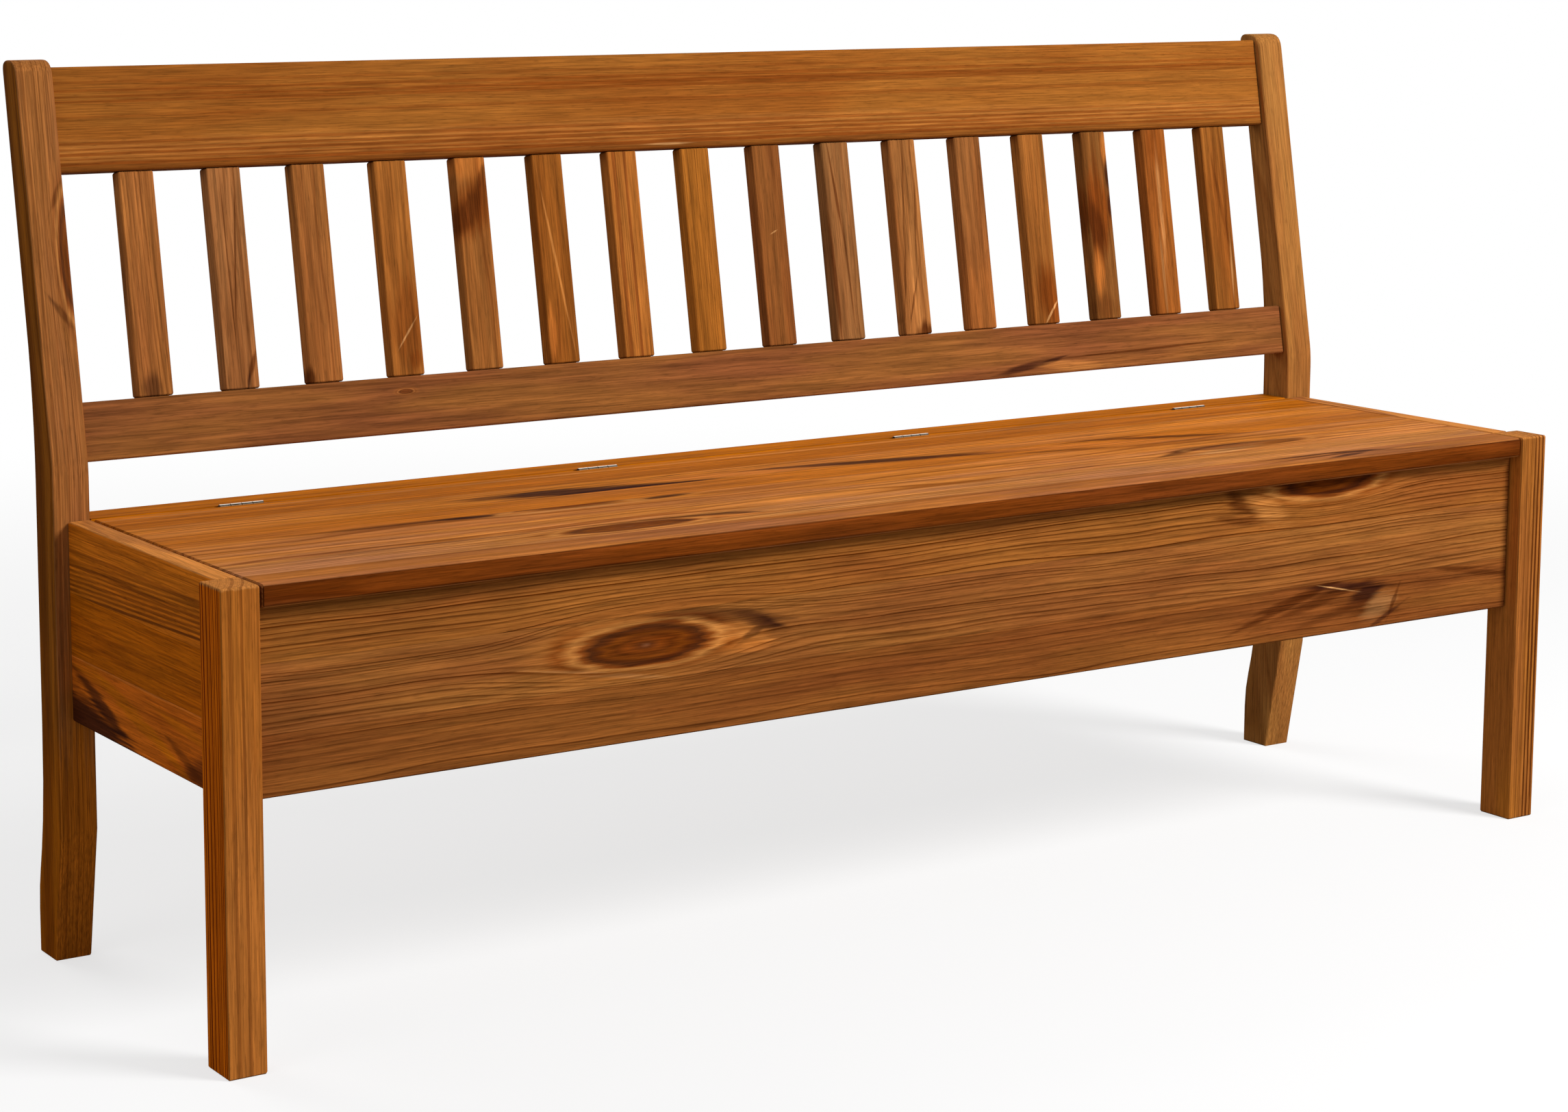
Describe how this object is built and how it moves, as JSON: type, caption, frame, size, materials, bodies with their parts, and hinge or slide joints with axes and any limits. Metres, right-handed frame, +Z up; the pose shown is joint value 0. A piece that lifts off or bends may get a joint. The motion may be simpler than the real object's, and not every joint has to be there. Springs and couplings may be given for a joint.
{
  "type": "storage bench",
  "caption": "Solid wood storage bench: a box seat whose lid is hinged along its rear edge, on square front legs and shaped rear posts, with a raked back of upright slats.",
  "frame": {"origin": "on the floor, in the middle of the bench's outline", "axes": "+X along the bench, to the right of someone who faces it; +Y to its back; +Z up"},
  "size_m": [1.668, 0.4878, 0.8979],
  "materials": {
    "post_pine": "oiled",
    "rail_pine": "oiled",
    "slat_pine": "oiled",
    "board_pine": "oiled",
    "lid_pine": "oiled",
    "batten_pine": "planed",
    "plywood": "sanded",
    "beech": "planed",
    "hinge_steel": "zinc plated"
  },
  "bodies": {
    "frame": {"front_leg_left": "post_pine", "front_leg_right": "post_pine", "rear_post_left": "post_pine", "rear_post_right": "post_pine", "side_board_left": "board_pine", "side_board_right": "board_pine", "front_board": "board_pine", "back_board": "board_pine", "seat_ledger": "batten_pine", "rear_seat_strip": "rail_pine", "bottom_panel": "plywood", "bottom_batten_front": "batten_pine", "bottom_batten_rear": "batten_pine", "bottom_rail": "rail_pine", "top_rail": "rail_pine", "slat_01": "slat_pine", "slat_02": "slat_pine", "slat_03": "slat_pine", "slat_04": "slat_pine", "slat_05": "slat_pine", "slat_06": "slat_pine", "slat_07": "slat_pine", "slat_08": "slat_pine", "slat_09": "slat_pine", "slat_10": "slat_pine", "slat_11": "slat_pine", "slat_12": "slat_pine", "slat_13": "slat_pine", "slat_14": "slat_pine", "slat_15": "slat_pine", "slat_16": "slat_pine", "dowel_front_board_left_1": "beech", "dowel_front_board_left_2": "beech", "dowel_front_board_right_1": "beech", "dowel_front_board_right_2": "beech", "dowel_side_board_left_leg_1": "beech", "dowel_side_board_left_leg_2": "beech", "dowel_side_board_left_post_1": "beech", "dowel_side_board_left_post_2": "beech", "dowel_side_board_right_leg_1": "beech", "dowel_side_board_right_leg_2": "beech", "dowel_side_board_right_post_1": "beech", "dowel_side_board_right_post_2": "beech", "hinge_1_fixed_leaf": "hinge_steel", "hinge_1_pin": "hinge_steel", "hinge_2_fixed_leaf": "hinge_steel", "hinge_2_pin": "hinge_steel", "hinge_3_fixed_leaf": "hinge_steel", "hinge_3_pin": "hinge_steel", "hinge_4_fixed_leaf": "hinge_steel", "hinge_4_pin": "hinge_steel"},
    "lid": {"lid": "lid_pine", "lid_batten_left": "batten_pine", "lid_batten_middle": "batten_pine", "lid_batten_right": "batten_pine", "hinge_1_moving_leaf": "hinge_steel", "hinge_2_moving_leaf": "hinge_steel", "hinge_3_moving_leaf": "hinge_steel", "hinge_4_moving_leaf": "hinge_steel"}
  },
  "joints": [
    {"name": "lid_hinge", "type": "hinge", "parent": "frame", "child": "lid", "pos_m": [0, 0.14106, 0.4488], "axis": [-1, 0, 0], "range_deg": [0, 95]}
  ]
}
